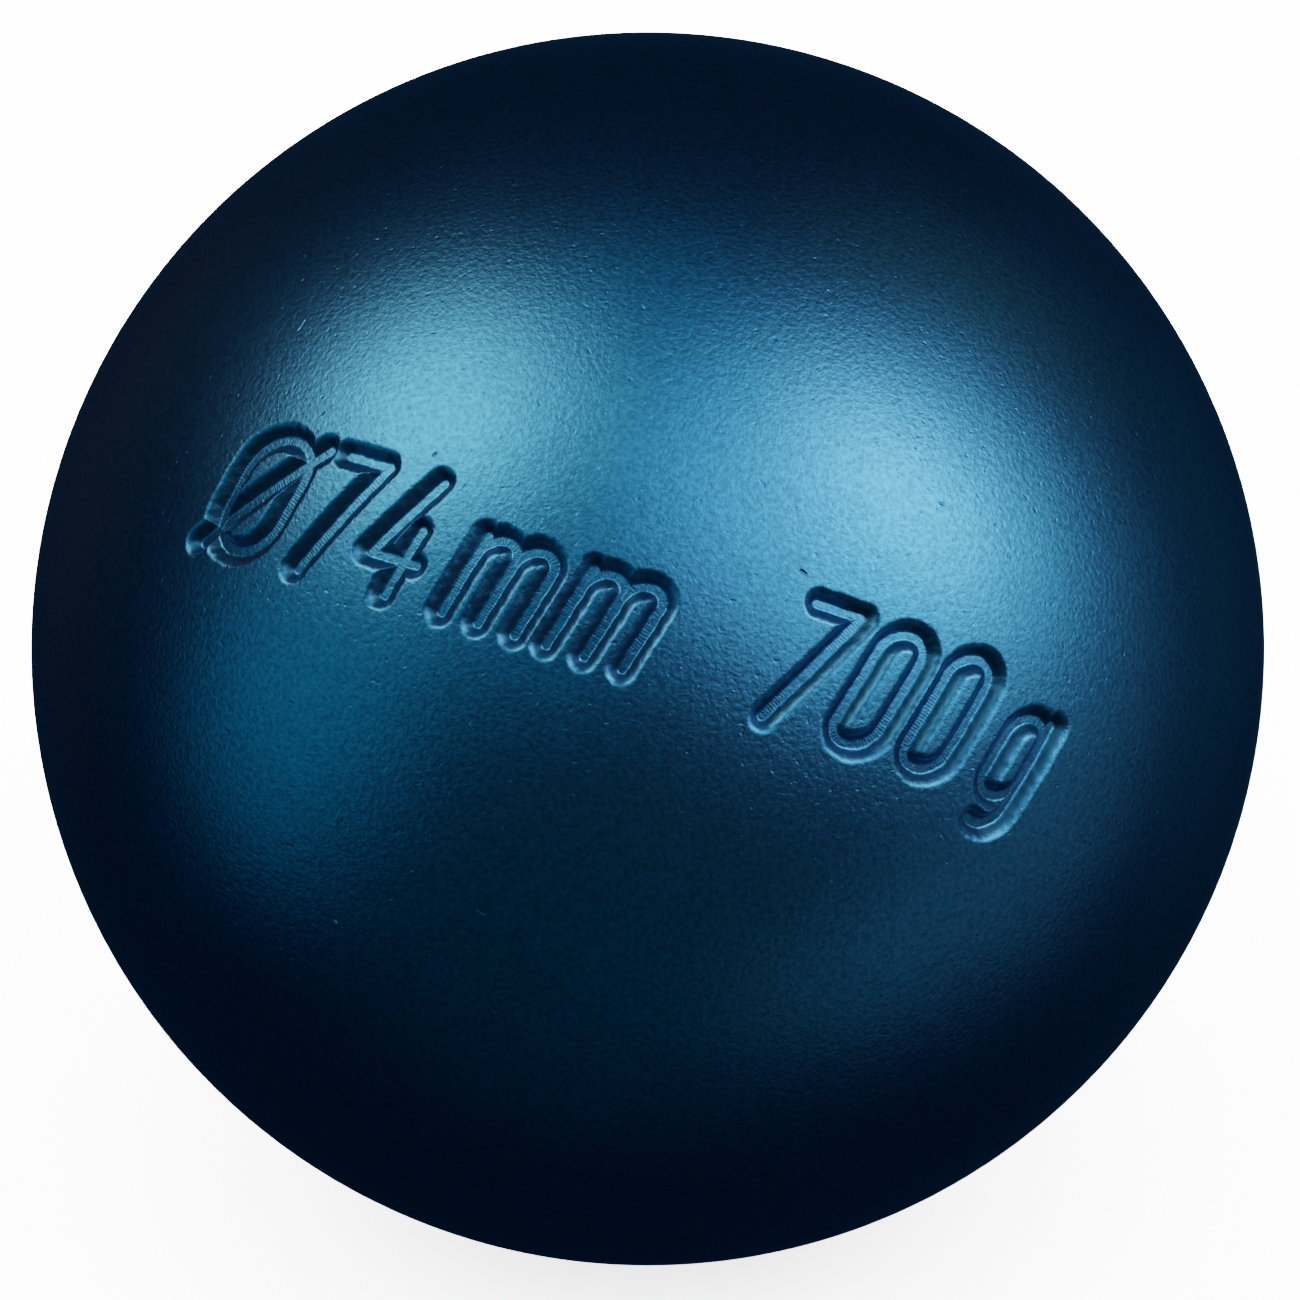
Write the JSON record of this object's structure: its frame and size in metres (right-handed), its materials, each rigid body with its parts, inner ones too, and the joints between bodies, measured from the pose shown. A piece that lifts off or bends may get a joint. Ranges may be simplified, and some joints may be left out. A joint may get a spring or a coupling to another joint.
{
  "type": "petanque boule",
  "caption": "Hollow steel petanque ball: stamped half shells that plug together on a centring spigot, joined by an equatorial weld ground flush, satin blue finish.",
  "frame": {"origin": "centre of the ball", "axes": "+Z along the axis of the weld ring, up through the middle of the upper half shell; front towards -Y, the side that carries the engraved marks in the visual model"},
  "size_m": [0.074, 0.074, 0.074],
  "materials": {
    "shell_finish": "satin",
    "weld_finish": "satin",
    "weld_metal": "matte"
  },
  "bodies": {
    "root": {"upper_half_shell": "shell_finish", "lower_half_shell": "shell_finish", "weld_root_pass": "weld_metal", "weld_cap_pass": "weld_finish"}
  },
  "joints": []
}
